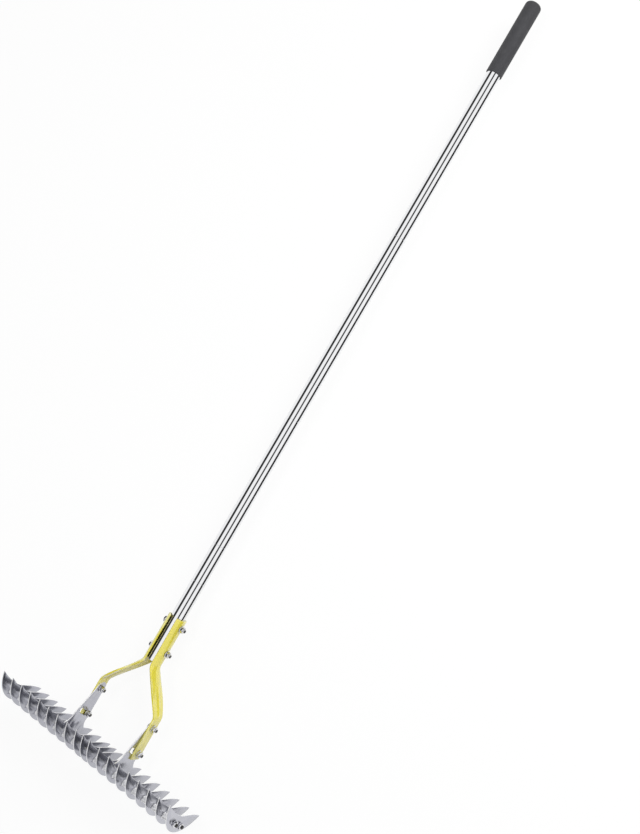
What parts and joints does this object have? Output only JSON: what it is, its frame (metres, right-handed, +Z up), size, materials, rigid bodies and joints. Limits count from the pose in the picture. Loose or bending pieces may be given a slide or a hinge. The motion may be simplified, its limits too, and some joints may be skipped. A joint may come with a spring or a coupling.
{
  "type": "thatch rake",
  "caption": "Long-handled thatch rake: a row of crescent steel tines on tie rods, tilting on a yellow two-arm bracket clamped to a jointed bright tube with a dark grip.",
  "frame": {"origin": "middle of the part's box on the floor it lies on, under the handle's axis", "axes": "+X along the tine row, +Y along the handle towards the grip, +Z up from the floor, away from the rear prongs"},
  "size_m": [0.3968, 1.4903, 0.1306],
  "materials": {
    "polished_tube": "polished bright steel tube",
    "plain_steel": "plain drawn steel",
    "grip_rubber": "matt dark grey moulded grip",
    "yellow_paint": "yellow powder coat on pressed steel",
    "zinc_fastener": "bright zinc plate",
    "bright_spacer": "bright plated tube",
    "zinc_plate": "smooth zinc plated sheet with bright cut edges"
  },
  "bodies": {
    "handle": {"lower_tube": "polished_tube", "lower_coupler": "polished_tube", "middle_tube": "polished_tube", "upper_coupler": "polished_tube", "upper_tube": "polished_tube", "top_tube": "polished_tube", "seam_joiner": "plain_steel", "grip": "grip_rubber", "left_arm": "yellow_paint", "right_arm": "yellow_paint", "clamp_bolts": "zinc_fastener", "clamp_washers": "zinc_fastener", "clamp_nuts": "zinc_fastener", "pivot_bolts": "zinc_fastener", "pivot_washers": "zinc_fastener", "pivot_nuts": "zinc_fastener", "tilt_bolts": "zinc_fastener", "tilt_washers": "zinc_fastener", "tilt_nuts": "zinc_fastener"},
    "head": {"tine_01": "zinc_plate", "tine_02": "zinc_plate", "tine_03": "zinc_plate", "tine_04": "zinc_plate", "tine_05": "zinc_plate", "tine_06": "zinc_plate", "tine_07": "zinc_plate", "tine_08": "zinc_plate", "tine_09": "zinc_plate", "tine_10": "zinc_plate", "tine_11": "zinc_plate", "tine_12": "zinc_plate", "tine_13": "zinc_plate", "tine_14": "zinc_plate", "tine_15": "zinc_plate", "tine_16": "zinc_plate", "tine_17": "zinc_plate", "tine_18": "zinc_plate", "tine_19": "zinc_plate", "front_rod": "zinc_fastener", "rear_rod": "zinc_fastener", "front_spacers": "bright_spacer", "rear_spacers": "bright_spacer", "rod_nuts": "zinc_fastener"}
  },
  "joints": [
    {"name": "head_tilt", "type": "hinge", "parent": "handle", "child": "head", "pos_m": [0, -0.64085, 0.05021], "axis": [1, 0, 0], "range_deg": [0, 26]}
  ]
}
